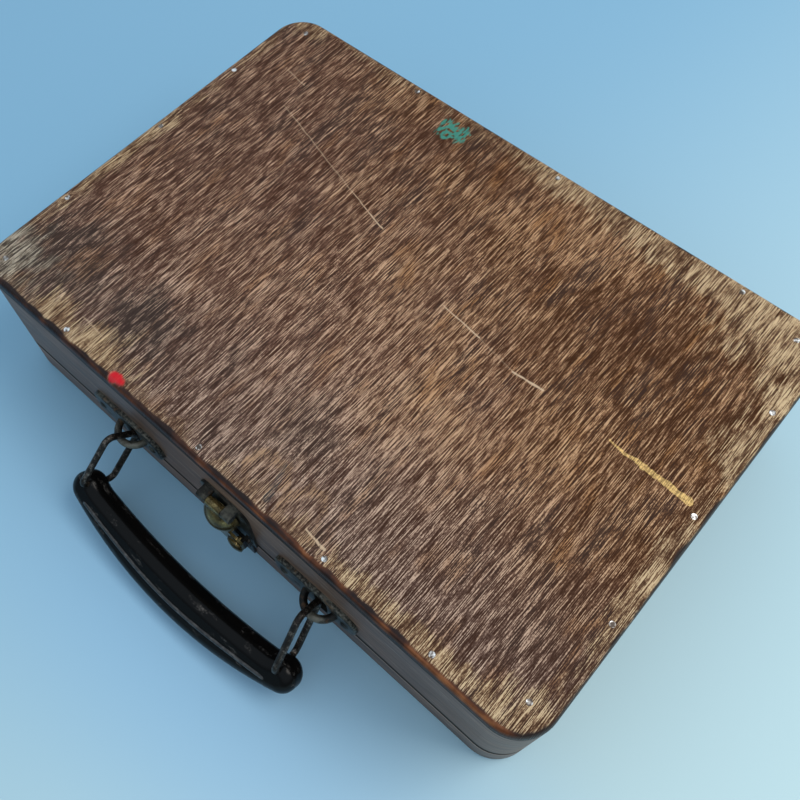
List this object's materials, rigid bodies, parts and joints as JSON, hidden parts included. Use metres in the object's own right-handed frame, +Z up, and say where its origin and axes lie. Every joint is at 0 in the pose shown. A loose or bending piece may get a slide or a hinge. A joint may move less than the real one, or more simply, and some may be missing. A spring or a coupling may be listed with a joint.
{
  "type": "wooden microscope case",
  "caption": "Flat suitcase-style wooden case with a hinged deep lid, drooping handle on wire links, domed latch and fitted cradles for a microscope.",
  "frame": {"origin": "centre of the underside of the tray's bottom panel, on the table", "axes": "+X along the length of the case, to the right when facing the handle; -Y out of the handle side; +Z up"},
  "size_m": [0.3, 0.2581, 0.0772],
  "materials": {
    "panel_plywood": "worn dark stain",
    "wall_wood": "dark varnish",
    "inner_wood": "plain oiled",
    "felt": "napped",
    "nail_steel": "worn bright",
    "dark_steel": "worn black",
    "wire_steel": "tarnished",
    "grip_black": "scuffed gloss",
    "latch_brass": "dark tarnish",
    "hinge_steel": "tarnished"
  },
  "bodies": {
    "base": {"base_wall_ring": "wall_wood", "base_bottom_panel": "panel_plywood", "base_panel_nails": "nail_steel", "base_lip_ring": "inner_wood", "base_lining": "felt", "tube_cradle": "inner_wood", "tube_cradle_felt": "felt", "foot_cradle": "inner_wood", "accessory_block": "inner_wood", "left_hinge_base_leaf": "hinge_steel", "right_hinge_base_leaf": "hinge_steel", "left_hinge_pin": "hinge_steel", "right_hinge_pin": "hinge_steel", "base_hinge_screws": "hinge_steel", "latch_keeper": "dark_steel", "latch_keeper_rivets": "nail_steel"},
    "lid": {"lid_wall_ring": "wall_wood", "lid_top_panel": "panel_plywood", "lid_panel_nails": "nail_steel", "lid_lining": "felt", "lid_clamp_block": "inner_wood", "lid_clamp_felt": "felt", "left_hinge_lid_leaf": "hinge_steel", "right_hinge_lid_leaf": "hinge_steel", "lid_hinge_screws": "hinge_steel", "left_handle_plate": "dark_steel", "right_handle_plate": "dark_steel", "handle_plate_rivets": "nail_steel", "latch_back_plate": "dark_steel", "latch_back_plate_rivets": "nail_steel", "latch_hasp_pin": "wire_steel"},
    "handle": {"handle_grip": "grip_black", "left_handle_link": "wire_steel", "right_handle_link": "wire_steel"},
    "hasp": {"latch_hasp": "latch_brass", "latch_bolt_guide": "dark_steel"},
    "bolt": {"latch_bolt": "wire_steel", "latch_thumb_button": "latch_brass"}
  },
  "joints": [
    {"name": "lid_hinge", "type": "hinge", "parent": "base", "child": "lid", "pos_m": [0, 0.1063, 0.0212], "axis": [-1, 0, 0], "range_deg": [0, 115]},
    {"name": "handle_swing", "type": "hinge", "parent": "lid", "child": "handle", "pos_m": [0, -0.1147, 0.036], "axis": [-1, 0, 0], "range_deg": [-30, 120]},
    {"name": "hasp_hinge", "type": "hinge", "parent": "lid", "child": "hasp", "pos_m": [0.004, -0.1082, 0.0576], "axis": [-1, 0, 0], "range_deg": [0, 60]},
    {"name": "bolt_slide", "type": "slide", "parent": "hasp", "child": "bolt", "axis": [-1, 0, 0], "range_m": [0, 0.0035]}
  ]
}
